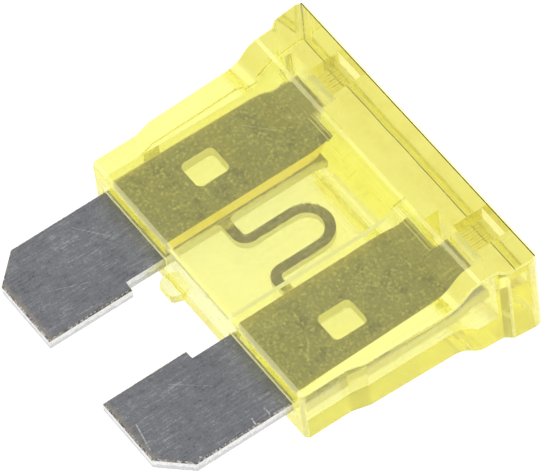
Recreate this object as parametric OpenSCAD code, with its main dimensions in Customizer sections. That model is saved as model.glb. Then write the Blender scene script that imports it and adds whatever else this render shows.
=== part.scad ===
// Automotive blade fuse: a one-piece stamped zinc element in a clear moulded housing.
// It lies on its broad side: X runs across both blades, Y from the tips to the head, Z is the thickness.
// The origin is at the middle of the outline, on the surface that the fuse lies on.

/* [Blades] */
// Width over the outer edges of both blades
blade_span = 14.6; // [14.2:0.1:17.6]
// Width of one blade at its tip
blade_w = 5.2; // [4.3:0.1:5.5]
// Thickness of the zinc strip
blade_t = 0.65; // [0.5:0.05:0.8]
// Bare length of the blades, from the housing to the tips
blade_reach = 6.55; // [5.5:0.05:8]
// How far the inner edge steps back above the tip
inner_step = 0.5; // [0.2:0.05:0.8]
// Length of the wide tip, from the tip to that step
tip_len = 4.5; // [3.5:0.1:5]
// Length of the tip's corner cut, along the blade
tip_cut_len = 1.45; // [0.8:0.05:2]
// Width of the tip's corner cut, across the blade
tip_cut_w = 1.4; // [0.8:0.05:2]

/* [Blades inside the housing] */
// Length of the blades inside the housing, up to the shoulder beside the probe tab
blade_depth = 9.7; // [8:0.05:12]
// Height of the probe tab above that shoulder
tab_rise = 0.75; // [0.4:0.05:0.9]
// Width of the probe tab
tab_w = 2.35; // [1.8:0.05:2.6]
// How far the tab's outer edge stands in from the blade's outer edge
tab_inset = 0.35; // [0.1:0.05:0.6]
// How far the outer edge leans in from the seating end up to the tab's slope
edge_lean = 0.15; // [0.05:0.05:0.25]
// Size of the hole across the blade
hole_w = 1.6; // [1.2:0.05:2]
// Size of the hole along the blade
hole_len = 1.8; // [1.2:0.05:2.2]
// Radius of the hole's corners
hole_corner_r = 0.3; // [0.1:0.05:0.5]
// Distance from the blade's outer edge to the middle of the hole
hole_inset = 2; // [1.9:0.05:2.4]
// Distance from the seating end to the middle of the hole
hole_y = 4.2; // [3.6:0.05:5.5]

/* [Fusible link] */
// Width of the link
link_w = 0.5; // [0.3:0.05:0.7]
// Thickness of the link, coined thinner than the blades
link_t = 0.4; // [0.2:0.05:0.5]
// Radius of the arch, on the link's centre line
arch_r = 1.1; // [0.8:0.05:1.25]
// Radius of the two lower bends, on the link's centre line
bend_r = 0.5; // [0.4:0.05:0.6]
// Distance from the seating end to the link's two roots
link_root_y = 3.3; // [2:0.1:4]
// Distance from the seating end to the top of the arch
link_top_y = 7.05; // [6:0.05:8.5]
// Radius of the fillets where the link leaves a blade
root_fillet_r = 0.2; // [0.1:0.05:0.3]

/* [Housing body] */
// Thickness of the body
body_t = 3.3; // [3.1:0.1:4]
// Width of each side rail at the seating end, outside the blades
rail_w = 0.85; // [0.5:0.05:1.5]
// How far each side steps out above the seating end
side_step_w = 0.25; // [0.1:0.05:0.5]
// How far each side leans out from that step up to the head
side_lean = 0.15; // [0.05:0.05:0.3]
// Where the side step starts, from the seating end
side_step_y = 2.45; // [1.5:0.05:3]
// Length of the side step's slope
side_step_len = 0.9; // [0.5:0.05:1.5]
// Bevel along the edges of the seating end and of the head's top
seat_bevel = 0.15; // [0.05:0.05:0.25]

/* [Head] */
// Thickness of the head
head_t = 5.1; // [4.8:0.1:6.2]
// Length of the full thickness of the head
head_len = 3.3; // [2.6:0.05:4]
// Length of the head beyond the tops of the probe tabs
cap_len = 1.95; // [1.6:0.05:3]
// How far each side leans out from the foot of the head up to the lip
head_lean = 0.1; // [0.05:0.05:0.3]
// How far each end of the lip stands out
lip_out = 0.4; // [0.2:0.05:0.8]
// Length of the slope from the body's faces up to the head's
shoulder_len = 0.9; // [0.8:0.05:1.2]
// Radius of the curves at the foot and at the top of that slope
shoulder_r = 1.2; // [1:0.05:1.3]
// Length of the lip
lip_len = 1.65; // [1.3:0.05:2]
// Length of the slope under the lip
lip_slope_len = 0.35; // [0.2:0.05:0.6]
// How far the lip's ends lean out from its foot to its top
lip_lean = 0.1; // [0:0.05:0.15]
// How far the head's broad faces lean out from the shoulders to the top
face_lean = 0.05; // [0:0.01:0.1]
// Radius of the lip's outer corners
corner_r = 0.5; // [0.2:0.05:0.8]

/* [Chambers] */
// Thickness of the front and back walls over the blades
wall_t = 0.95; // [0.6:0.05:1.1]
// Thickness of the front wall over the link, thinner than over the blades
window_t = 0.3; // [0.25:0.05:0.55]
// Thickness of the end wall, which closes in round the blades
end_wall_t = 0.25; // [0.2:0.05:0.6]
// How far the hollow reaches past the probe tab's inner edge
tab_room = 0.7; // [0.3:0.05:1.2]
// Gap between the housing and the edges of the element
edge_gap = 0.12; // [0.05:0.01:0.2]
// Gap between the end wall and the faces of a blade
face_gap = 0.04; // [0.02:0.01:0.08]

/* [Probe openings] */
// Width of a probe opening
probe_w = 1.75; // [1.4:0.05:1.9]
// Height of a probe opening, through the thickness of the head
probe_h = 0.8; // [0.7:0.05:1.6]
// Distance from the blade's outer edge to the middle of the opening
probe_inset = 1.8; // [1.5:0.05:2]
// Number of grip ribs on the back wall of a probe opening
probe_ribs = 5; // [3:1:6]
// Height of a grip rib above its wall
probe_rib_h = 0.12; // [0.08:0.01:0.2]
// Clear length left at both ends of a grip rib
probe_rib_end = 0.4; // [0.2:0.05:0.6]

/* [Gate] */
// Width of the gate stub on the seating end
gate_w = 1.3; // [0.8:0.1:1.6]
// How far the gate stub stands out
gate_len = 0.5; // [0.2:0.05:0.6]
// Thickness of the gate stub
gate_t = 0.5; // [0.3:0.05:0.8]
// Distance from the middle of the housing to the middle of the gate stub
gate_x = 1.35; // [0:0.05:1.75]

/* [Hidden] */
$fn = 96;
eps = 0.5;                                        // how far a cutter runs past the face it opens
outer_x = blade_span / 2;                         // outer edge of a blade
tip_x = outer_x - blade_w;                        // inner edge of a blade at its tip
inner_x = tip_x + inner_step;                     // inner edge of a blade above its step
tab_out_x = outer_x - tab_inset;
tab_in_x = tab_out_x - tab_w;
tab_top_y = blade_depth + tab_rise;
tab_slope_y = blade_depth - 3 * tab_inset;        // where the outer edge slopes in to the tab
hole_x = outer_x - hole_inset;
probe_x = outer_x - probe_inset;
pocket_x = inner_x - edge_gap;                    // side of the pocket round the link
pocket_top_y = blade_depth + edge_gap;
seat_x = outer_x + rail_w;                        // half widths of the housing, from the seating end up
body_x = seat_x + side_step_w;
neck_x = body_x + side_lean;
head_x = neck_x + head_lean;
lip_x = head_x + lip_out;
housing_len = tab_top_y + cap_len;
fuse_len = blade_reach + housing_len;
seat_y = blade_reach - fuse_len / 2;              // the seating end, from the middle of the outline
head_y = housing_len - head_len;
shoulder_angle = atan((head_t / 2 - face_lean - body_t / 2) / shoulder_len);
lip_y = housing_len - lip_len;

// Both halves of the fuse are alike on each side of the middle
module both_sides() {
    children();
    mirror([1, 0, 0]) children();
}

// A slab of the given height, centred on the middle of the thickness
module slab(h) {
    linear_extrude(height = h, center = true) children();
}

// One quarter of a flat ring on a centre line of radius r; it spans the quadrant +X +Y
module quarter_band(r, w) {
    intersection() {
        difference() {
            circle(r = r + w / 2);
            circle(r = r - w / 2);
        }
        square(r + w);
    }
}

// The fillet that fills a square inside corner at the origin, on the side +X +Y
module inside_fillet(r) {
    difference() {
        translate([-0.05, -0.05]) square(r + 0.05);
        translate([r, r]) circle(r = r);
    }
}

// Outline of one blade on the +X side, from its tip to its probe tab
module blade_outline() {
    polygon([
        [tip_x, -blade_reach],
        [outer_x - tip_cut_w, -blade_reach],
        [outer_x, tip_cut_len - blade_reach],
        [outer_x, 0],
        [outer_x - edge_lean, tab_slope_y],
        [tab_out_x, blade_depth],
        [tab_out_x, tab_top_y],
        [tab_in_x, tab_top_y],
        [tab_in_x, blade_depth],
        [inner_x, blade_depth],
        [inner_x, tip_len - blade_reach],
        [tip_x, tip_len - blade_reach]
    ]);
}

// A rectangle round the origin with rounded corners
module rounded_rectangle(w, len, r) {
    square([w - 2 * r, len], center = true);
    square([w, len - 2 * r], center = true);
    for (side = [-1, 1])
        for (end = [-1, 1])
            translate([side * (w / 2 - r), end * (len / 2 - r)]) circle(r = r);
}

// Right half of the link: root, lower bend, leg and half of the arch
module link_half() {
    bend_x = arch_r + bend_r;
    bend_y = link_root_y + bend_r;
    arch_y = link_top_y - arch_r;
    translate([bend_x, link_root_y - link_w / 2]) square([inner_x - bend_x + 0.1, link_w]);
    translate([bend_x, bend_y]) rotate(180) quarter_band(bend_r, link_w);
    translate([arch_r - link_w / 2, bend_y]) square([link_w, arch_y - bend_y]);
    translate([0, arch_y]) quarter_band(arch_r, link_w);
    translate([inner_x, link_root_y + link_w / 2]) rotate(90) inside_fillet(root_fillet_r);
    translate([inner_x, link_root_y - link_w / 2]) rotate(180) inside_fillet(root_fillet_r);
}

// Two blades and the link between them, stamped from one strip
module fuse_element() {
    color("slategray")
    translate([0, seat_y, head_t / 2])
    union() {
        both_sides() slab(blade_t) difference() {
            blade_outline();
            translate([hole_x, hole_y]) rounded_rectangle(hole_w, hole_len, hole_corner_r);
        }
        slab(link_t) both_sides() link_half();
    }
}

// Outline of the housing seen from the front: side step, neck, head and lip
module front_outline() {
    both_sides() polygon([
        [0, 0],
        [seat_x - seat_bevel, 0],
        [seat_x, seat_bevel],
        [seat_x, side_step_y],
        [body_x, side_step_y + side_step_len],
        [neck_x, head_y - shoulder_len],
        [head_x, lip_y - lip_slope_len],
        [lip_x - lip_lean, lip_y],
        [lip_x, housing_len - corner_r],
        [lip_x - corner_r, housing_len - corner_r],
        [lip_x - corner_r, housing_len],
        [0, housing_len]
    ]);
    both_sides() translate([lip_x - corner_r, housing_len - corner_r]) circle(r = corner_r);
}

// One face of a side outline, as an area down to the middle: body, curved shoulder and head.
// wall moves it inwards, parallel to the housing's own face.
module side_face(start_y, wall = 0) {
    body_z = body_t / 2 - wall;
    head_z = head_t / 2 - wall;
    foot_r = shoulder_r + wall;
    top_r = shoulder_r - wall;
    foot_y = head_y - shoulder_len + wall * tan(shoulder_angle / 2);
    top_y = head_y + wall * tan(shoulder_angle / 2);
    foot_cut = foot_r * tan(shoulder_angle / 2);
    top_cut = top_r * tan(shoulder_angle / 2);
    foot_end = [foot_y + foot_cut * cos(shoulder_angle), body_z + foot_cut * sin(shoulder_angle)];
    top_z = head_z - face_lean;
    polygon([
        [start_y, 0],
        [start_y, body_z],
        [foot_y, body_z],
        [top_y - top_cut * cos(shoulder_angle), top_z - top_cut * sin(shoulder_angle)],
        [top_y + top_cut, top_z],
        [housing_len - seat_bevel, head_z],
        [housing_len, head_z],
        [housing_len, 0]
    ]);
    translate([top_y + top_cut, top_z - top_r]) circle(r = top_r);
    difference() {
        polygon([[foot_y - foot_cut, body_z], foot_end, [foot_end[0], 0], [foot_y - foot_cut, 0]]);
        translate([foot_y - foot_cut, body_z + foot_r]) circle(r = foot_r);
    }
}

// Outline of the housing seen from the side, along X: thin body, curved shoulders, thick head
module side_outline() {
    for (side = [0, 1])
        mirror([0, side]) difference() {
            side_face(0);
            translate([0, body_t / 2]) rotate(45) square(seat_bevel * sqrt(2), center = true);
            translate([housing_len, head_t / 2]) rotate(45) square(seat_bevel * sqrt(2), center = true);
        }
}

// The closed outer form: the front outline and the side outline run through each other
module housing_form() {
    intersection() {
        slab(head_t) front_outline();
        rotate([90, 0, 90]) slab(2 * lip_x) side_outline();
    }
}

// Outline of the hollow round the blade on the +X side, above the end wall
module blade_hollow_outline() {
    in_x = pocket_x - 0.1;                        // it runs a little into the pocket
    lean_x = outer_x - edge_lean + edge_gap;
    polygon([
        [in_x, end_wall_t],
        [outer_x + edge_gap, end_wall_t],
        [lean_x, tab_slope_y],
        [lean_x, tab_top_y + edge_gap],
        [tab_in_x - tab_room, tab_top_y + edge_gap],
        [tab_in_x - tab_room, pocket_top_y],
        [in_x, pocket_top_y]
    ]);
}

// The hollow round both blades; its front and back walls are even in thickness up into the head
module blade_hollows() {
    intersection() {
        slab(head_t) both_sides() blade_hollow_outline();
        rotate([90, 0, 90]) slab(2 * lip_x)
            for (side = [0, 1])
                mirror([0, side]) side_face(end_wall_t, wall_t);
    }
}

// The pocket round the link, between the blades; it is deeper towards the front
module link_pocket() {
    back_z = wall_t - body_t / 2;
    translate([-pocket_x, end_wall_t, back_z])
        cube([2 * pocket_x, pocket_top_y - end_wall_t, body_t / 2 - window_t - back_z]);
}

// The mouths in the end wall, close round the blades
module blade_mouths() {
    both_sides() slab(blade_t + 2 * face_gap)
        translate([inner_x - edge_gap, -eps])
            square([outer_x - inner_x + 2 * edge_gap, end_wall_t + 2 * eps]);
}

// An opening in the top of the head for a test probe, with grip ribs on its back wall
module probe_opening() {
    opening_len = housing_len - tab_top_y;
    pitch = probe_w / (probe_ribs + 0.5);
    translate([probe_x - probe_w / 2, tab_top_y, -probe_h / 2]) difference() {
        cube([probe_w, opening_len + eps, probe_h]);
        for (i = [1 : probe_ribs])
            translate([(i - 0.5) * pitch, probe_rib_end, -eps])
                cube([pitch / 2, opening_len - 2 * probe_rib_end, eps + probe_rib_h]);
    }
}

// Half-round stub left on the seating end by the mould's gate, cut off square
module gate_stub() {
    translate([-gate_x - gate_w / 2, 0, gate_t / 2 - body_t / 2 + seat_bevel]) intersection() {
        cylinder(d = gate_w, h = gate_t, center = true);
        translate([-gate_w / 2, -gate_len, -gate_t]) cube([gate_w, gate_len + 0.1, 2 * gate_t]);
    }
}

// Clear moulded housing, one piece
module housing() {
    color([0.93, 0.9, 0.25, 0.55])
    translate([0, seat_y, head_t / 2])
    union() {
        difference() {
            housing_form();
            blade_hollows();
            link_pocket();
            blade_mouths();
            both_sides() probe_opening();
        }
        gate_stub();
    }
}

housing();
fuse_element();
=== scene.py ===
import math
import bpy
import bmesh
from mathutils.bvhtree import BVHTree
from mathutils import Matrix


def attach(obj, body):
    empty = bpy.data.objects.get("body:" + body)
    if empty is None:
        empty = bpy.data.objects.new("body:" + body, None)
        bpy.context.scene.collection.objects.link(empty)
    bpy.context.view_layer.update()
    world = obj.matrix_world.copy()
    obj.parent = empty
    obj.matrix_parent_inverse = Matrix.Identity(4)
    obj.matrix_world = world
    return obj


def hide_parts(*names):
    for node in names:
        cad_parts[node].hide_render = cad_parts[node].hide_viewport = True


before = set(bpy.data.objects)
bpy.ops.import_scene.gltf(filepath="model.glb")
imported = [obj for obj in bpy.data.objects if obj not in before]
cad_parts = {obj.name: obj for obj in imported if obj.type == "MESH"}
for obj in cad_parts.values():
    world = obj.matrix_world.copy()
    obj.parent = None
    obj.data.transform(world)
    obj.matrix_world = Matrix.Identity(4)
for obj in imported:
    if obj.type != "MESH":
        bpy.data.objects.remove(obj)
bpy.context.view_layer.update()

mm = 0.001
print("frame loaded:", ", ".join(sorted(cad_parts)))


class Wire:
    # a node socket that does arithmetic
    def __init__(self, shader, socket):
        self.shader = shader
        self.socket = socket

    def maths(self, operation, *values):
        return self.shader.node("ShaderNodeMath", {"operation": operation}, values)

    def __add__(self, other):
        return self.maths("ADD", self, other)

    def __radd__(self, other):
        return self.maths("ADD", other, self)

    def __sub__(self, other):
        return self.maths("SUBTRACT", self, other)

    def __rsub__(self, other):
        return self.maths("SUBTRACT", other, self)

    def __mul__(self, other):
        return self.maths("MULTIPLY", self, other)

    def __rmul__(self, other):
        return self.maths("MULTIPLY", other, self)

    def __truediv__(self, other):
        return self.maths("DIVIDE", self, other)

    def __rtruediv__(self, other):
        return self.maths("DIVIDE", other, self)

    def __pow__(self, other):
        return self.maths("POWER", self, other)

    def __abs__(self):
        return self.maths("ABSOLUTE", self)

    def low(self, other):
        return self.maths("MINIMUM", self, other)

    def high(self, other):
        return self.maths("MAXIMUM", self, other)

    def smooth(self, start, end):
        # 0 before start, 1 after end, and a soft step in between
        return self.shader.node("ShaderNodeMapRange", {"interpolation_type": "SMOOTHSTEP"},
                                {"Value": self, "From Min": start, "From Max": end})


class Shader:
    # a material and the one method that adds a node to it
    nodesInRow = 8
    nodeGap = (220, -180)

    def __init__(self, name):
        self.material = bpy.data.materials.new(name)
        self.material.use_nodes = True
        self.tree = self.material.node_tree
        self.tree.nodes.clear()

    def node(self, kind, settings=None, sockets=(), output=0):
        column, row = divmod(len(self.tree.nodes), self.nodesInRow)
        made = self.tree.nodes.new(kind)
        made.location = (self.nodeGap[0] * column, self.nodeGap[1] * row)
        for key, value in (settings or {}).items():
            setattr(made, key, value)
        pairs = sockets.items() if isinstance(sockets, dict) else enumerate(sockets)
        for key, value in pairs:
            if isinstance(value, Wire):
                self.tree.links.new(value.socket, made.inputs[key])
            else:
                made.inputs[key].default_value = value
        return Wire(self, made.outputs[output]) if len(made.outputs) else None

    def place(self):
        # the place on the piece in millimetres: a vector, and its three numbers
        metres = self.node("ShaderNodeTexCoord", output="Object")
        vector = self.node("ShaderNodeVectorMath", {"operation": "SCALE"},
                           {"Vector": metres, "Scale": 1 / mm})
        x = self.node("ShaderNodeSeparateXYZ", None, {"Vector": vector})
        split = x.socket.node.outputs
        return vector, x, Wire(self, split["Y"]), Wire(self, split["Z"])

    def pattern(self, vector, scale, detail, roughness, stretch=None, step=None):
        # noise; stretch is how many times faster it changes along each axis, and step cuts it into patches
        if stretch:
            vector = self.node("ShaderNodeVectorMath", {"operation": "MULTIPLY"}, (vector, stretch))
        noise = self.node("ShaderNodeTexNoise", None,
                          {"Vector": vector, "Scale": scale, "Detail": detail, "Roughness": roughness})
        return noise.smooth(*step) if step else noise

    def blend(self, factor, first, second, kind="MIX"):
        # colours, each four numbers or a wire
        return self.node("ShaderNodeMix", {"data_type": "RGBA", "blend_type": kind},
                         {0: factor, 6: first, 7: second}, output=2)

    def bump(self, height, depth, strength, normal=None):
        sockets = {"Height": height, "Distance": depth, "Strength": strength}
        if normal is not None:
            sockets["Normal"] = normal
        return self.node("ShaderNodeBump", None, sockets)

    def stroke(self, x, y, start, end, width):
        # 1 along a straight scratch from start to end, falling to 0 at its sides
        dx, dy = end[0] - start[0], end[1] - start[1]
        along = (((x - start[0]) * dx + (y - start[1]) * dy) / (dx * dx + dy * dy)).high(0).low(1)
        offX = x - start[0] - along * dx
        offY = y - start[1] - along * dy
        away = (offX * offX + offY * offY) ** 0.5
        return 1 - (away / width).low(1)

    def finish(self, surface, inside=None):
        sockets = {"Surface": surface}
        if inside is not None:
            sockets["Volume"] = inside
        self.node("ShaderNodeOutputMaterial", None, sockets)
        return self.material


def rgb(red, green, blue):
    return (red, green, blue, 1)


def grey(light):
    return rgb(light, light, light)


meshing = {
    "doubles": 0.0005 * mm,               # points nearer than this are one
    "flat": 0.4,                          # degrees within which two faces are one flat face
    "lookout": 0.001 * mm,                # how far in front of a face the search for others starts
    "wide": 0.3 * mm,                     # faces narrower than this are parts of a curve
    "weight": 50,
}


def alone(piece):
    # only this piece is selected and active
    bpy.ops.object.select_all(action="DESELECT")
    piece.select_set(True)
    bpy.context.view_layer.objects.active = piece


def cleanCopy(nodeName, pieceName):
    # a copy of a CAD node with its doubles merged and its flat faces whole
    piece = bpy.data.objects.new(pieceName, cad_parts[nodeName].data.copy())
    bpy.context.scene.collection.objects.link(piece)
    alone(piece)
    bpy.ops.object.mode_set(mode="EDIT")
    bpy.ops.mesh.select_all(action="SELECT")
    bpy.ops.mesh.remove_doubles(threshold=meshing["doubles"])
    bpy.ops.mesh.dissolve_limited(angle_limit=math.radians(meshing["flat"]))
    bpy.ops.object.mode_set(mode="OBJECT")
    return piece


def facesOutside(mesh):
    # a face is outside if nothing of the piece lies in front of it
    work = bmesh.new()
    work.from_mesh(mesh)
    bmesh.ops.triangulate(work, faces=work.faces[:])
    tree = BVHTree.FromBMesh(work)
    work.free()
    outside = set()
    for face in mesh.polygons:
        start = face.center + face.normal * meshing["lookout"]
        if tree.ray_cast(start, face.normal)[0] is None:
            outside.add(face.index)
    return outside


def edgeMiddle(edge):
    return (edge.verts[0].co + edge.verts[1].co) / 2


def selectEdges(piece, wanted, leastAngle):
    # selects convex edges sharper than leastAngle that wanted(edge) accepts, and counts them
    bpy.context.tool_settings.mesh_select_mode = (False, True, False)
    work = bmesh.new()
    work.from_mesh(piece.data)
    work.normal_update()
    for part in (work.faces, work.edges, work.verts):
        for item in part:
            item.select = False
    chosen = 0
    for edge in work.edges:
        between = len(edge.link_faces) == 2
        if between and edge.calc_face_angle_signed(0) >= math.radians(leastAngle) and wanted(edge):
            edge.select = True
            chosen += 1
    work.select_flush_mode()
    work.to_mesh(piece.data)
    work.free()
    return chosen


def bevelSelected(piece, width, segments):
    alone(piece)
    bpy.ops.object.mode_set(mode="EDIT")
    bpy.ops.mesh.select_mode(type="EDGE")
    bpy.ops.mesh.bevel(offset=width, offset_type="OFFSET", segments=segments, profile=0.5,
                       affect="EDGES", clamp_overlap=False, miter_outer="SHARP")
    bpy.ops.object.mode_set(mode="OBJECT")


def faceWidth(face, mesh):
    longest = max((mesh.vertices[first].co - mesh.vertices[second].co).length
                  for first, second in face.edge_keys)
    return face.area / longest


def shadeFaces(piece, smoothAngle):
    # narrow faces are parts of curves and shade smoothly; the wide ones keep their own normals
    alone(piece)
    bpy.ops.object.shade_smooth_by_angle(angle=math.radians(smoothAngle))
    mesh = piece.data
    for strength, isWide in (("WEAK", False), ("STRONG", True)):
        bpy.ops.object.mode_set(mode="EDIT")
        bpy.ops.mesh.select_mode(type="FACE")
        bpy.ops.mesh.select_all(action="DESELECT")
        bpy.ops.object.mode_set(mode="OBJECT")
        for face in mesh.polygons:
            face.select = (faceWidth(face, mesh) > meshing["wide"]) == isWide
        bpy.ops.object.mode_set(mode="EDIT")
        bpy.ops.mesh.mod_weighted_strength(set=True, face_strength=strength)
        bpy.ops.object.mode_set(mode="OBJECT")
    weighted = piece.modifiers.new("flatFaces", "WEIGHTED_NORMAL")
    weighted.weight = meshing["weight"]
    weighted.keep_sharp = True
    weighted.use_face_influence = True
    bpy.ops.object.modifier_apply(modifier=weighted.name)


def swapIn(piece, nodeName, materials):
    # the piece stands for the CAD node, with its materials
    piece.data.materials.clear()
    for material in materials:
        piece.data.materials.append(material)
    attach(piece, "root")
    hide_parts(nodeName)


print("helpers ready")

# The clear housing: polished yellow plastic in front, satin at its sides and back
plastic = {
    "index": 1.58,
    "clearness": 0.99,                    # the rest is haze
    "tint": rgb(0.98, 0.965, 0.0),        # of the light that passes through
    "tintStrength": 215,                  # per metre
    "skin": rgb(0.945, 0.945, 0.62),
    "skinWarm": rgb(0.945, 0.93, 0.54),
    "polished": (0.015, 0.06),            # roughness of its glossy and of its hazy places
    "satinSkin": rgb(1.0, 1.0, 1.0),
    "satinWarm": rgb(1.0, 0.99, 0.88),
    "satin": (0.1, 0.18),
    "satinClearness": 1.0,
    "satinPaintedGlow": 0.018,                   # painted glow, standing in for light that the moulding scatters
    "satinScratched": 0.3,                # how deep its waves and scratches are beside the polished ones
    "edgeScratched": 0.15,
    "rubbed": rgb(1.0, 0.99, 0.6),        # its rounded edges, rubbed, with a painted glow
    "rubbedGloss": (0.2, 0.3),
    "rubbedClearness": 0.8,
    "rubbedPaintedGlow": 0.1,
    "rubbedWidth": 0.12 * mm,
    "rim": rgb(1.0, 0.98, 0.55),          # the frosted rim round the head's top, with a painted glow
    "rimClearness": 0.3,
    "rimPaintedGlow": 0.28,
    "rimFoot": 9.2 * mm,
    "rimWidth": 0.4 * mm,
    "pocketSide": 2.48 * mm,              # the side walls of the pocket round the link, which carry the painted bands
    "pocketFoot": 3.2 * mm,
    "amber": rgb(0.95, 0.8, 0.12),        # painted shade: a darker amber band by the left blade, with a painted glow
    "amberPaintedGlow": 0.28,
    "pale": rgb(1.0, 1.0, 0.62),          # painted light: a pale glowing band by the right blade
    "palePaintedGlow": 0.5,
    "paintedBandsClearness": 0.25,
    "cloud": dict(scale=0.35, detail=2, roughness=0.5, step=(0.38, 0.72)),
    "haze": dict(scale=1.7, detail=4, roughness=0.6, step=(0.35, 0.8)),
    "dust": dict(scale=7.0, detail=2, roughness=0.7, step=(0.70, 0.76)),
    "dustColour": rgb(0.9, 0.88, 0.6),
    "dustShare": 0.5,
    "dustRoughness": 0.2,
    "mist": dict(scale=5.0, detail=4, roughness=0.75, step=(0.4, 0.7)),
    "mistColour": rgb(0.93, 0.92, 0.84),
    "mistShare": 0.5,
    "head": (7.0, 7.7),                   # where the thick head starts, in millimetres
    "headBackDepth": (0.02, 0.1),
    "patches": dict(scale=0.9, detail=3, roughness=0.6, step=(0.42, 0.62)),
    "patchColour": rgb(0.93, 0.9, 0.72),
    "patchShare": 0.6,
    "headFront": rgb(0.95, 0.93, 0.83),
    "headBack": rgb(0.72, 0.67, 0.5),     # the head is this much darker, seen through to its back
    "flow": dict(scale=0.55, detail=1, roughness=0.4, stretch=(1, 0.55, 1)),
    "flowDepth": 0.05 * mm,
    "flowStrength": 0.5,
    "hairs": dict(scale=1.0, detail=2, roughness=0.6, stretch=(9, 0.6, 3), step=(0.62, 0.7)),
    "hairsAcross": dict(scale=1.0, detail=2, roughness=0.6, stretch=(0.7, 8, 3), step=(0.64, 0.7)),
    "scratchDepth": 0.004 * mm,
    "scratchStrength": 0.6,
    "edgeRound": 0.08 * mm,
    "edgeSegments": 3,
    "leastAngle": 14,                     # degrees; softer edges are left
    "stubRoot": -2.95 * mm,               # the gate stub beyond it stays sharp
    "cornerFoot": 9.3 * mm,               # so do the chamfer's narrow ends at the head's corners
    "cornerSide": 8.5 * mm,
    "facesFront": 0.5,                    # faces turned less to the front than this are satin
    "facesSide": 0.9,
    "near": 0.1 * mm,
}


def clearPlastic(name, skin, skinWarm, gloss, clearness, scratched=1, paintedGlow=0, isBack=False):
    s = Shader(name)
    vector, _, y, z = s.place()
    inHead = y.smooth(*plastic["head"])
    dust = s.pattern(vector, **plastic["dust"])
    colour = s.blend(s.pattern(vector, **plastic["cloud"]), skin, skinWarm)
    colour = s.blend(dust * plastic["dustShare"], colour, plastic["dustColour"])
    mist = s.pattern(vector, **plastic["mist"]) * plastic["mistShare"]
    colour = s.blend(mist, colour, plastic["mistColour"], "MULTIPLY")
    patches = s.pattern(vector, **plastic["patches"]) * inHead * plastic["patchShare"]
    colour = s.blend(patches, colour, plastic["patchColour"], "MULTIPLY")
    if isBack:
        atBack = inHead * (1 - z.smooth(*plastic["headBackDepth"]))
        colour = s.blend(atBack, colour, plastic["headBack"], "MULTIPLY")
    else:
        colour = s.blend(inHead, colour, plastic["headFront"], "MULTIPLY")
    glossy, hazy = gloss
    haze = s.pattern(vector, **plastic["haze"])
    rough = haze * (hazy - glossy) + glossy + dust * plastic["dustRoughness"]
    flow = s.pattern(vector, **plastic["flow"])
    wavy = s.bump(flow, plastic["flowDepth"] * scratched, plastic["flowStrength"])
    lines = s.pattern(vector, **plastic["hairs"]) + s.pattern(vector, **plastic["hairsAcross"])
    marked = s.bump(lines, plastic["scratchDepth"] * scratched, plastic["scratchStrength"], wavy)
    # the emission is a painted glow; the plastic is no lamp
    surface = s.node("ShaderNodeBsdfPrincipled", None, {
        "Base Color": colour, "Roughness": rough, "Normal": marked,
        "IOR": plastic["index"], "Transmission Weight": clearness,
        "Emission Color": skin, "Emission Strength": paintedGlow})
    inside = s.node("ShaderNodeVolumeAbsorption", None,
                    {"Color": plastic["tint"], "Density": plastic["tintStrength"]})
    return s.finish(surface, inside)


# less clear plastic of one colour, with a painted glow
def frostedPaintedGlow(name, colour, gloss, clearness, paintedGlow):
    return clearPlastic(name, colour, colour, gloss, clearness, plastic["edgeScratched"], paintedGlow)


def housingEdge(edge):
    # outer edges, without the gate stub and the chamfer's narrow ends at the head's corners
    middle = edgeMiddle(edge)
    onStub = min(vert.co.y for vert in edge.verts) < plastic["stubRoot"]
    onCorner = middle.y > plastic["cornerFoot"] and abs(middle.x) > plastic["cornerSide"]
    return all(face.index in outer for face in edge.link_faces) and not onStub and not onCorner


housing = cleanCopy("housing", "clearHousing")
outer = facesOutside(housing.data)
rounded = selectEdges(housing, housingEdge, plastic["leastAngle"])
bevelSelected(housing, plastic["edgeRound"], plastic["edgeSegments"])
outer = facesOutside(housing.data)
alone(housing)
bpy.ops.object.shade_flat()               # smoothed corners would turn dark in clear plastic
swapIn(housing, "housing", (
    clearPlastic("polishedPlastic", plastic["skin"], plastic["skinWarm"], plastic["polished"],
                 plastic["clearness"]),
    clearPlastic("satinPlastic", plastic["satinSkin"], plastic["satinWarm"], plastic["satin"],
                 plastic["satinClearness"], plastic["satinScratched"], plastic["satinPaintedGlow"], True),
    frostedPaintedGlow("paintedShadeAmberPlastic", plastic["amber"], plastic["satin"], plastic["paintedBandsClearness"],
            plastic["amberPaintedGlow"]),
    frostedPaintedGlow("paintedLightPalePlastic", plastic["pale"], plastic["satin"], plastic["paintedBandsClearness"],
            plastic["palePaintedGlow"]),
    frostedPaintedGlow("rubbedPaintedGlowPlastic", plastic["rubbed"], plastic["rubbedGloss"], plastic["rubbedClearness"],
            plastic["rubbedPaintedGlow"]),
    frostedPaintedGlow("rimPaintedGlowPlastic", plastic["rim"], plastic["rubbedGloss"], plastic["rimClearness"],
            plastic["rimPaintedGlow"])))
polishedFaces, satinFaces, paintedShadeFaces, paintedLightFaces, rubbedFaces, rimFaces = range(6)

for face in housing.data.polygons:
    width = faceWidth(face, housing.data)
    use = polishedFaces
    if face.index in outer:
        if width < plastic["rimWidth"] and face.center.y > plastic["rimFoot"]:
            use = rimFaces
        elif width < plastic["rubbedWidth"]:
            use = rubbedFaces
        elif face.normal.z < plastic["facesFront"]:
            use = satinFaces
    toPocketSide = abs(abs(face.center.x) - plastic["pocketSide"])
    onPocketSide = abs(face.normal.x) > plastic["facesSide"] and toPocketSide < plastic["near"]
    # the pocket's side walls get the painted bands: painted shade by the left blade, painted light by the
    # right
    if onPocketSide and face.center.z > plastic["pocketFoot"]:
        use = paintedShadeFaces if face.center.x < 0 else paintedLightFaces
    face.material_index = use
print("housing: rounded edges", rounded, "faces", len(housing.data.polygons))
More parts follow.
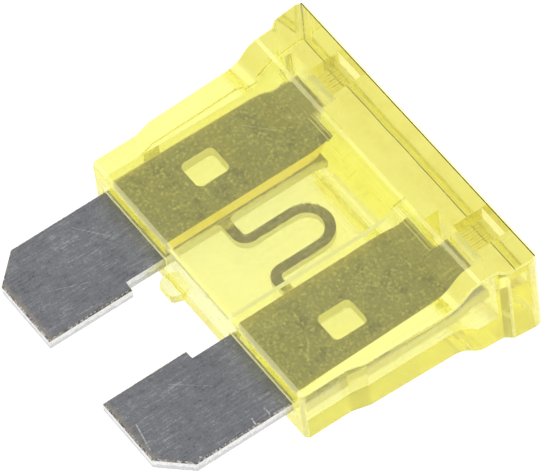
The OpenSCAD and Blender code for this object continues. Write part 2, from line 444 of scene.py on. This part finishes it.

# The stamped element: dull rolled faces, dark corners and pale cut edges
zinc = {
    # its outline, in millimetres
    "outerSide": 7.3,
    "innerSide": 2.6,
    "tipInnerSide": 2.1,
    "tipEnd": 9.475,
    "tipFlat": 5.9,                       # the tip is square up to here, and then cut off
    "cutSlope": 0.7,
    "seatingEnd": -2.925,                 # where the housing starts
    "seatingFade": 0.2,
    "linkFade": (2.5, 2.6),               # inside this there is only the link
    # the rolled faces
    "face": rgb(0.195, 0.199, 0.212),
    "faceDark": rgb(0.105, 0.108, 0.116),
    "faceLight": rgb(0.36, 0.365, 0.38),
    "cloud": dict(scale=0.55, detail=4, roughness=0.6),
    "mottle": dict(scale=2.6, detail=5, roughness=0.65),
    "lines": dict(scale=1.0, detail=4, roughness=0.65, stretch=(8, 0.7, 1)),
    "fine": dict(scale=1.0, detail=3, roughness=0.7, stretch=(24, 2.2, 1)),
    "grain": dict(scale=10.0, detail=3, roughness=0.7),
    "toneShare": {"cloud": 0.5, "mottle": 0.7, "lines": 1.1, "fine": 0.8, "grain": 0.9},
    "linesMiddle": 0.95,
    "toneMiddle": 0.55,
    "toneDark": (0.0, 0.5),
    "toneLight": (0.5, 1.0),
    "linesCovered": 0.6,                  # the rolling lines are this much weaker under the housing
    "pits": dict(scale=6.5, detail=2, roughness=0.6, step=(0.66, 0.74)),
    "pitColour": rgb(0.09, 0.09, 0.1),
    "pitShare": 0.5,
    "flecks": dict(scale=1.0, detail=2, roughness=0.6, stretch=(13, 4.5, 1), step=(0.66, 0.8)),
    "fleckColour": rgb(0.5, 0.51, 0.52),
    "fleckShare": 0.6,
    "roughness": 0.34,
    "roughShare": {"lines": 0.22, "grain": 0.12, "pits": 0.2},
    "reliefShare": {"lines": 0.6, "fine": 0.3, "grain": 0.4, "pits": 0.8},
    "reliefDepth": 0.006 * mm,
    "reliefStrength": 0.7,
    # what changes on them near the housing and under it
    "besideFoot": -4.6,
    "beside": grey(1.35),                 # painted light: how much lighter the blades are painted close to the housing
    "paintedLightInHousing": rgb(2.05, 1.95, 1.12),   # painted light: how much lighter, and yellower, the blades are painted where the housing covers them
    "blots": dict(scale=1.3, detail=3, roughness=0.7, step=(0.5, 0.68)),
    "blotShare": 0.75,
    "spots": dict(scale=6.0, detail=4, roughness=0.8, step=(0.5, 0.64)),
    "spotShare": 0.9,
    "link": rgb(1.9, 1.8, 1.4),           # painted light: how much lighter the link is painted
    "paintedYellowReflection": rgb(0.72, 0.62, 0.2),       # painted reflection: golden along the covered blades' sides, the yellow walls mirrored in the metal
    "marginWidth": (0.0, 0.6),
    "marginWaver": 0.3,
    "marginShare": 0.45,
    # darker along the rims, and wear at the tips
    "rim": rgb(0.1, 0.09, 0.08),
    "rimWidth": (-0.02, 0.12),
    "rimWaver": (0.5, 0.3),
    "rimShare": 0.65,
    "rubbed": rgb(0.36, 0.31, 0.24),      # tan where the plating is rubbed
    "rubbedWidth": (-0.15, 0.1),
    "rubbedWaver": 0.5,
    "rubbedShare": 0.5,
    "scratched": dict(scale=9.0, detail=2, roughness=0.6, step=(0.3, 0.6)),
    "scratchColour": rgb(0.85, 0.85, 0.84),
    "scratches": (                        # start, end, half width and brightness
        ((6.89, -4.77), (7.33, -4.81), 0.06, 0.9),
        ((6.74, -4.02), (7.16, -4.00), 0.05, 0.8),
        ((3.93, -8.94), (5.44, -9.23), 0.05, 0.5),
        ((7.11, -7.71), (7.40, -7.60), 0.07, 0.9),
        ((-6.6, -5.2), (-5.1, -4.1), 0.03, 0.3),
        ((-4.4, -8.1), (-3.6, -6.2), 0.03, 0.25),
        ((3.1, -6.6), (4.4, -5.1), 0.03, 0.25),
        ((-6.2, 3.9), (-4.9, 5.0), 0.05, 0.6),
        ((-4.2, 4.3), (-3.5, 3.0), 0.05, 0.5),
        ((3.4, -1.9), (3.9, -0.8), 0.05, 0.6),
        ((6.2, -1.2), (5.2, -0.5), 0.05, 0.5),
        ((4.0, 2.9), (4.9, 3.6), 0.05, 0.5),
    ),
    # the cut edges, smooth towards the front, torn and duller towards the back
    "cut": grey(0.8),
    "cutDark": rgb(0.42, 0.41, 0.4),
    # painted light: pale yellow for the cut edges and corners under the housing
    "cutPaintedLightInHousing": rgb(0.96, 0.93, 0.68),
    "cutCoveredShare": 0.8,
    "tear": dict(scale=3.0, detail=3, roughness=0.6, stretch=(1, 1, 0.12)),
    "tornFrom": 2.53,
    "tornFade": (-0.05, 0.06),
    "tornWaver": 0.6,
    "tornShare": 0.45,
    "cutGrain": dict(scale=9.0, detail=3, roughness=0.7),
    "cutPits": (0.5, 0.72),
    "cutPitShare": 0.6,
    "cutRoughness": (0.34, 0.25),         # at its least, and how much the grain adds
    "cutRelief": (0.8, 0.3),
    "cutDepth": 0.015 * mm,
    "cutStrength": 0.6,
    # the rolled-over corners between them: dark, with tan patches and pale spots
    "cornerDark": rgb(0.13, 0.12, 0.115),
    "cornerTan": rgb(0.3, 0.26, 0.2),
    "cornerLight": rgb(0.62, 0.61, 0.59),
    "cornerPatch": dict(scale=2.2, detail=4, roughness=0.7),
    "cornerPatches": (0.45, 0.65),
    "cornerGrain": dict(scale=8.0, detail=3, roughness=0.7),
    "cornerSpots": (0.46, 0.62),
    "cornerSpotShare": 0.8,
    "cornerRoughness": (0.3, 0.3),
    "cornerRelief": 0.5,
    "cornerDepth": 0.012 * mm,
    "cornerStrength": 0.7,
    # its shape
    "edgeRound": 0.08 * mm,
    "edgeSegments": 2,
    "leastAngle": 40,                     # degrees; softer edges are left
    "smoothAngle": 35,
    "linkSide": 2.59 * mm,                # the link, its roots and the blades' holes keep sharp edges
    "linkFoot": -4.9 * mm,
    "rootSide": 2.8 * mm,
    "rootSpan": (-0.4 * mm, 1.2 * mm),
    "holeSide": (4.4 * mm, 6.3 * mm),
    "holeSpan": (0.3 * mm, 2.3 * mm),
    "upright": (0.1, 0.9, 0.99),          # how upright cut edges are at most, and rims and faces at least
}


def underHousing(y):
    return y.smooth(zinc["seatingEnd"], zinc["seatingEnd"] + zinc["seatingFade"])


def rolledZinc():
    s = Shader("rolledZinc")
    vector, x, y, _ = s.place()
    parts = {name: s.pattern(vector, **zinc[name])
             for name in ("cloud", "mottle", "lines", "fine", "grain", "pits", "flecks")}
    mottle, lines, fine, grain, pits = (parts[name] for name in ("mottle", "lines", "fine", "grain", "pits"))
    covered = underHousing(y)

    # the metal's own tone
    share = zinc["toneShare"]
    rolling = lines * share["lines"] + fine * share["fine"] - zinc["linesMiddle"]
    rolling = rolling * (1 - covered * zinc["linesCovered"])
    tone = parts["cloud"] * share["cloud"] + mottle * share["mottle"] + rolling
    tone = tone + grain * share["grain"] - zinc["toneMiddle"]
    colour = s.blend(tone.smooth(*zinc["toneDark"]), zinc["faceDark"], zinc["face"])
    colour = s.blend(tone.smooth(*zinc["toneLight"]), colour, zinc["faceLight"])
    colour = s.blend(pits * zinc["pitShare"], colour, zinc["pitColour"])
    colour = s.blend(parts["flecks"] * zinc["fleckShare"], colour, zinc["fleckColour"])

    # near the housing and under it
    blots = s.pattern(vector, **zinc["blots"])
    colour = s.blend(blots * covered * zinc["blotShare"], colour, zinc["faceDark"])
    spots = s.pattern(vector, **zinc["spots"])
    colour = s.blend(spots * covered * zinc["spotShare"], colour, zinc["faceLight"])
    # painted light: the bare blades are painted lighter close to the housing
    beside = y.smooth(zinc["besideFoot"], zinc["seatingEnd"]) * (1 - covered)
    colour = s.blend(beside, colour, zinc["beside"], "MULTIPLY")
    # painted light under the housing
    colour = s.blend(covered, colour, zinc["paintedLightInHousing"], "MULTIPLY")
    waver = mottle - 0.5
    # painted reflection of the yellow walls along the covered blades' sides
    inward = (zinc["outerSide"] - abs(x)).low(abs(x) - zinc["innerSide"]) + waver * zinc["marginWaver"]
    onBlade = abs(x).smooth(*zinc["linkFade"])
    paintedReflectionMask = (1 - inward.smooth(*zinc["marginWidth"])) * covered * onBlade
    colour = s.blend(paintedReflectionMask * zinc["marginShare"], colour, zinc["paintedYellowReflection"])
    # painted light: the link under the housing is painted lighter
    colour = s.blend((1 - onBlade) * covered, colour, zinc["link"], "MULTIPLY")

    # scratches and rubbed tips, and darker along the rims
    worn = s.pattern(vector, **zinc["scratched"])
    for start, end, width, light in zinc["scratches"]:
        mark = s.stroke(x, y, start, end, width) * worn
        colour = s.blend(mark * light, colour, zinc["scratchColour"])
    fromTip = y + zinc["tipEnd"]
    fromCut = (fromTip + zinc["tipFlat"] - abs(x)) * zinc["cutSlope"]
    fromSides = (zinc["outerSide"] - abs(x)).low(abs(x) - zinc["tipInnerSide"])
    inside = fromSides.low(fromTip).low(fromCut)
    coarse, small = zinc["rimWaver"]
    rim = 1 - (inside - waver * coarse - (grain - 0.5) * small).smooth(*zinc["rimWidth"])
    colour = s.blend(rim * zinc["rimShare"], colour, zinc["rim"])
    tip = 1 - (fromTip - mottle * zinc["rubbedWaver"]).smooth(*zinc["rubbedWidth"])
    colour = s.blend(tip * zinc["rubbedShare"], colour, zinc["rubbed"])

    share = zinc["roughShare"]
    rough = lines * share["lines"] + grain * share["grain"] + pits * share["pits"] + zinc["roughness"]
    share = zinc["reliefShare"]
    relief = lines * share["lines"] + fine * share["fine"] + grain * share["grain"] - pits * share["pits"]
    surface = s.node("ShaderNodeBsdfPrincipled", None, {
        "Base Color": colour, "Metallic": 1.0, "Roughness": rough,
        "Normal": s.bump(relief, zinc["reliefDepth"], zinc["reliefStrength"])})
    return s.finish(surface)


def cutZinc():
    s = Shader("cutZinc")
    vector, _, y, z = s.place()
    tear = s.pattern(vector, **zinc["tear"])
    grain = s.pattern(vector, **zinc["cutGrain"])
    torn = 1 - (z - zinc["tornFrom"] - (tear - 0.5) * zinc["tornWaver"]).smooth(*zinc["tornFade"])
    colour = s.blend(torn * zinc["tornShare"], zinc["cut"], zinc["cutDark"])
    colour = s.blend(grain.smooth(*zinc["cutPits"]) * zinc["cutPitShare"], colour, zinc["cutDark"])
    # painted light under the housing
    colour = s.blend(underHousing(y) * zinc["cutCoveredShare"], colour, zinc["cutPaintedLightInHousing"])
    least, added = zinc["cutRoughness"]
    fromTear, fromGrain = zinc["cutRelief"]
    relief = tear * fromTear + grain * fromGrain
    surface = s.node("ShaderNodeBsdfPrincipled", None, {
        "Base Color": colour, "Metallic": 1.0, "Roughness": grain * added + least,
        "Normal": s.bump(relief, zinc["cutDepth"], zinc["cutStrength"])})
    return s.finish(surface)


def cornerZinc():
    s = Shader("cornerZinc")
    vector, _, y, _ = s.place()
    patch = s.pattern(vector, **zinc["cornerPatch"])
    grain = s.pattern(vector, **zinc["cornerGrain"])
    colour = s.blend(patch.smooth(*zinc["cornerPatches"]), zinc["cornerDark"], zinc["cornerTan"])
    spots = grain.smooth(*zinc["cornerSpots"]) * zinc["cornerSpotShare"]
    colour = s.blend(spots, colour, zinc["cornerLight"])
    # painted light under the housing
    colour = s.blend(underHousing(y) * zinc["cutCoveredShare"], colour, zinc["cutPaintedLightInHousing"])
    least, added = zinc["cornerRoughness"]
    relief = grain + patch * zinc["cornerRelief"]
    surface = s.node("ShaderNodeBsdfPrincipled", None, {
        "Base Color": colour, "Metallic": 1.0, "Roughness": grain * added + least,
        "Normal": s.bump(relief, zinc["cornerDepth"], zinc["cornerStrength"])})
    return s.finish(surface)


cutMost, rimLeast, faceLeast = zinc["upright"]


def within(value, span):
    return span[0] < value < span[1]


def bladeEdge(edge):
    # the edges round the two faces of each blade, without its hole, the link and the link's roots
    middle = edgeMiddle(edge)
    side = abs(middle.x)
    onLink = side < zinc["linkSide"] and middle.y > zinc["linkFoot"]
    onRoot = side < zinc["rootSide"] and within(middle.y, zinc["rootSpan"])
    onHole = within(side, zinc["holeSide"]) and within(middle.y, zinc["holeSpan"])
    atFace = sum(abs(face.normal.z) for face in edge.link_faces) > rimLeast
    return atFace and not (onLink or onRoot or onHole)


element = cleanCopy("fuse_element", "zincElement")
rounded = selectEdges(element, bladeEdge, zinc["leastAngle"])
bevelSelected(element, zinc["edgeRound"], zinc["edgeSegments"])
shadeFaces(element, zinc["smoothAngle"])
swapIn(element, "fuse_element", (rolledZinc(), cutZinc(), cornerZinc()))
rolledFaces, cutFaces, cornerFaces = range(3)
for face in element.data.polygons:
    upright = abs(face.normal.z)
    face.material_index = cornerFaces
    if upright > faceLeast:
        face.material_index = rolledFaces
    elif upright < cutMost:
        face.material_index = cutFaces
print("element: rounded edges", rounded, "faces", len(element.data.polygons))

# A plain white table and an even white sky
studio = {
    "tableSize": 0.6,
    "tableDrop": 0.01 * mm,               # the table lies this far below the fuse
    "tablePaint": grey(0.1),
    "tableRoughness": 0.9,
    "tableLight": 1.05,
    "skyLight": 1.08,
    "bounces": 32,                        # light crosses many walls of clear plastic
    "glossyBounces": 16,
    "cameraPlace": (0.1708314, -0.0920417, 0.2764739),
    "cameraTurn": (0.61529187, 0.08131199, 0.95579023),
    "lens": 493.37,
    "film": 36,
    "sight": (0.05, 5),                   # the nearest and farthest that it sees, in metres
}

bpy.ops.object.select_all(action="DESELECT")
bpy.ops.mesh.primitive_plane_add(size=studio["tableSize"], location=(0, 0, -studio["tableDrop"]))
table = bpy.context.object
table.name = "table"
bpy.ops.object.transform_apply(location=True, rotation=False, scale=False)
s = Shader("paleTable")
table.data.materials.append(s.finish(s.node("ShaderNodeBsdfPrincipled", None, {
    "Base Color": studio["tablePaint"], "Roughness": studio["tableRoughness"],
    "Emission Color": grey(1), "Emission Strength": studio["tableLight"]})))

scene = bpy.context.scene
scene.world = bpy.data.worlds.new("studio")
scene.world.use_nodes = True
sky = scene.world.node_tree.nodes["Background"].inputs
sky["Color"].default_value = grey(1)
sky["Strength"].default_value = studio["skyLight"]
scene.view_settings.view_transform = "Standard"
scene.cycles.max_bounces = studio["bounces"]
scene.cycles.transmission_bounces = studio["bounces"]
scene.cycles.transparent_max_bounces = studio["bounces"]
scene.cycles.glossy_bounces = studio["glossyBounces"]

cameraData = bpy.data.cameras.new("camera")
cameraData.lens = studio["lens"]
cameraData.sensor_width = studio["film"]
cameraData.clip_start, cameraData.clip_end = studio["sight"]
camera = bpy.data.objects.new("camera", cameraData)
camera.location = studio["cameraPlace"]
camera.rotation_euler = studio["cameraTurn"]
scene.collection.objects.link(camera)
scene.camera = camera
print("studio and camera set")
